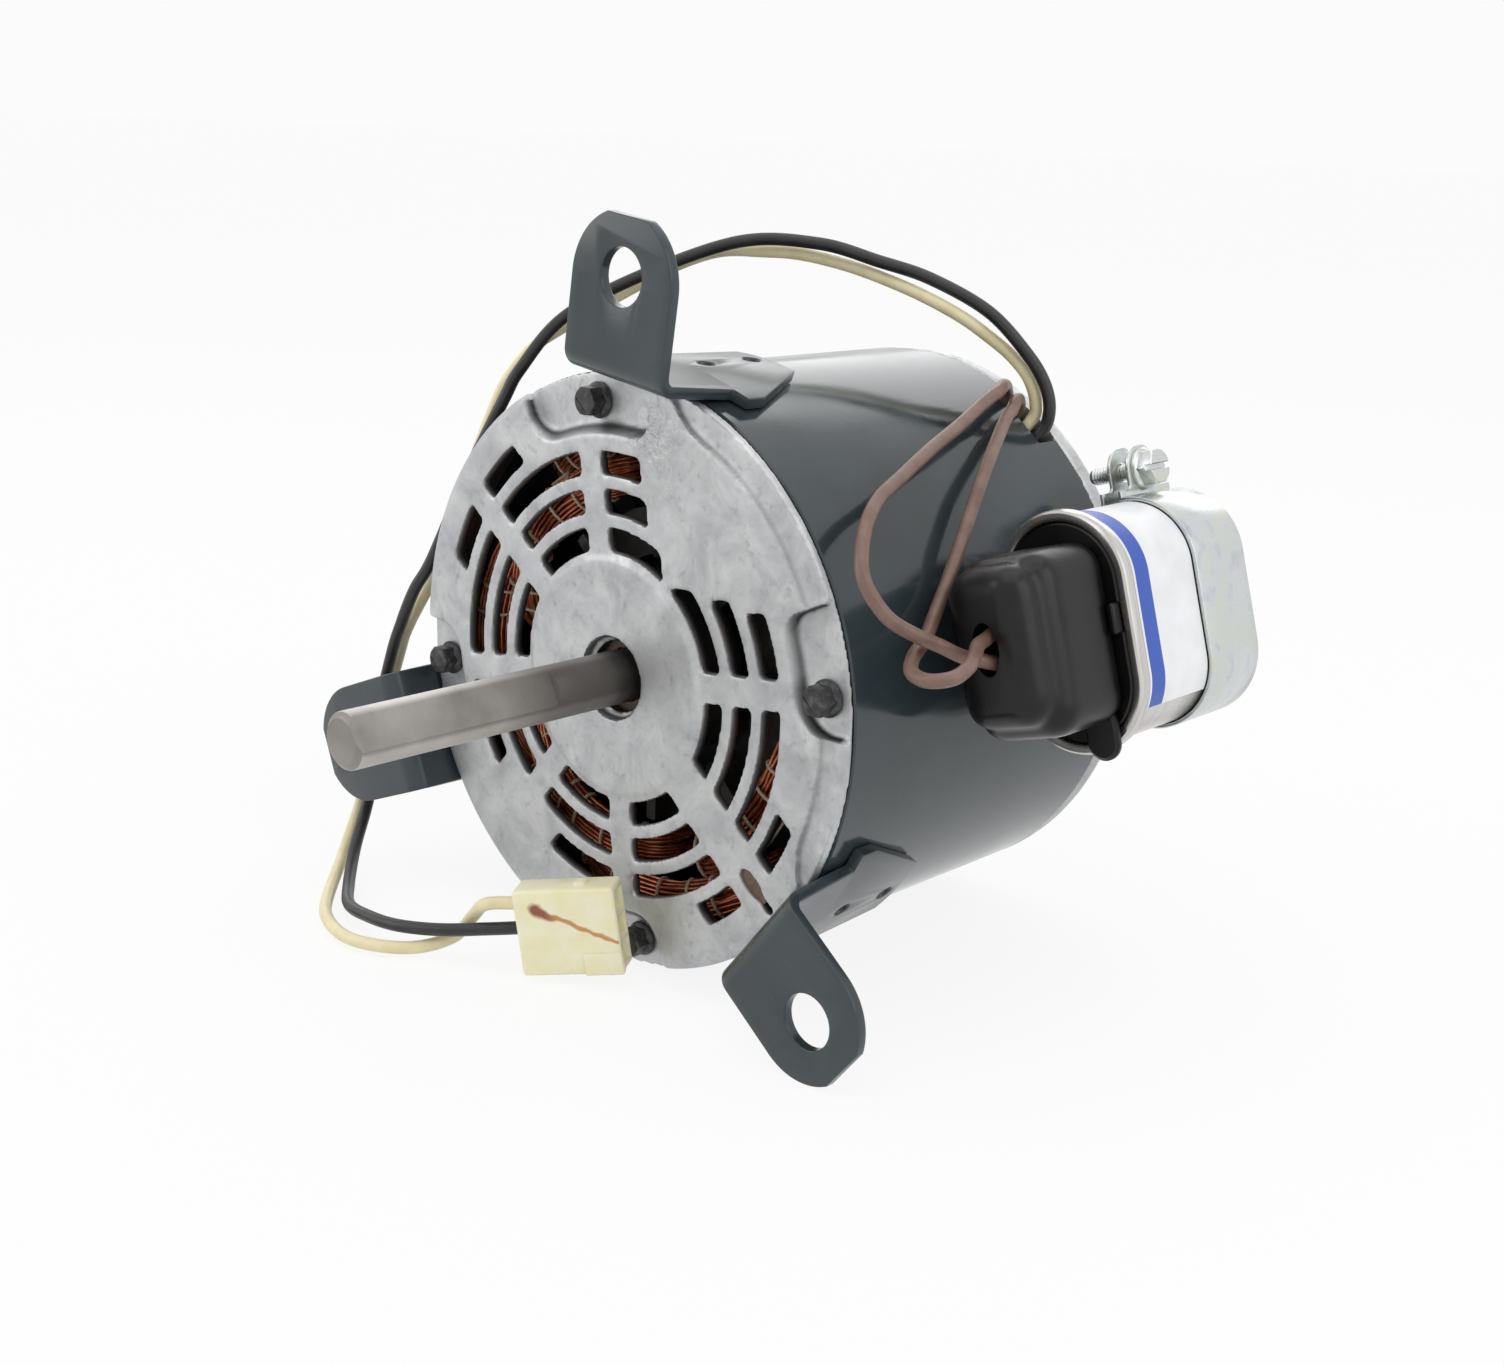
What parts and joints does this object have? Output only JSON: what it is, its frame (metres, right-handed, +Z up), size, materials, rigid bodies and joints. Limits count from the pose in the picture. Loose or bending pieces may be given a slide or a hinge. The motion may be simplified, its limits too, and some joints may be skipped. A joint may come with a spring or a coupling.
{
  "type": "combustion fan motor",
  "caption": "Electric motor of a combustion fan: painted shell, vented end shields, flatted shaft, welded lugs, strapped capacitor with rubber boot, leads and plug.",
  "frame": {"origin": "centre of the shaft's free end face", "axes": "+Y runs along the shaft from its free end into the motor, +Z is up as the motor lies, +X points to the capacitor's side"},
  "size_m": [0.2078, 0.1964, 0.1791],
  "materials": {
    "grey_green_paint": "semi-gloss",
    "cast_aluminium": "as cast",
    "black_steel": "black oxide",
    "ground_steel": "ground",
    "lamination_steel": "punched",
    "plated_steel": "bright zinc",
    "enamelled_copper": "varnished",
    "sintered_bronze": "porous",
    "tinned_brass": "tinned",
    "oil_felt": "felted",
    "film_roll": "wound film",
    "phenolic": "moulded",
    "black_rubber": "satin",
    "black_insulation": "extruded",
    "cream_insulation": "extruded",
    "brown_insulation": "extruded",
    "nylon": "moulded"
  },
  "bodies": {
    "motor_frame": {"motor_shell": "grey_green_paint", "mounting_lug_top": "grey_green_paint", "mounting_lug_left": "grey_green_paint", "mounting_lug_right": "grey_green_paint", "front_end_shield": "cast_aluminium", "rear_end_shield": "cast_aluminium", "through_bolt_1": "black_steel", "through_bolt_2": "black_steel", "through_bolt_3": "black_steel", "through_bolt_4": "black_steel", "through_bolt_nut_1": "black_steel", "through_bolt_nut_2": "black_steel", "through_bolt_nut_3": "black_steel", "through_bolt_nut_4": "black_steel", "stator_core": "lamination_steel", "main_coil_1": "enamelled_copper", "main_coil_2": "enamelled_copper", "main_coil_3": "enamelled_copper", "main_coil_4": "enamelled_copper", "start_coil_1": "enamelled_copper", "start_coil_2": "enamelled_copper", "start_coil_3": "enamelled_copper", "start_coil_4": "enamelled_copper", "front_bearing_bush": "sintered_bronze", "rear_bearing_bush": "sintered_bronze", "front_oil_felt": "oil_felt", "rear_oil_felt": "oil_felt", "front_bearing_retainer": "plated_steel", "rear_bearing_retainer": "plated_steel", "capacitor_can": "plated_steel", "capacitor_roll": "film_roll", "capacitor_lid": "phenolic", "capacitor_terminal_1": "tinned_brass", "capacitor_terminal_2": "tinned_brass", "capacitor_boot": "black_rubber", "capacitor_strap": "plated_steel", "strap_screw": "plated_steel", "lead_black": "black_insulation", "lead_cream": "cream_insulation", "capacitor_lead_1": "brown_insulation", "capacitor_lead_2": "brown_insulation", "plug_housing": "nylon", "plug_contact_1": "tinned_brass", "plug_contact_2": "tinned_brass"},
    "rotor": {"rotor_shaft": "ground_steel", "rotor_core": "lamination_steel", "rotor_cage": "cast_aluminium", "front_thrust_collar": "plated_steel", "rear_thrust_collar": "plated_steel", "front_thrust_washer": "phenolic", "rear_thrust_washer": "phenolic"}
  },
  "joints": [
    {"name": "rotor_spin", "type": "hinge", "parent": "motor_frame", "child": "rotor", "pos_m": [0, 0.1291, 0], "axis": [0, 1, 0], "continuous": true}
  ]
}
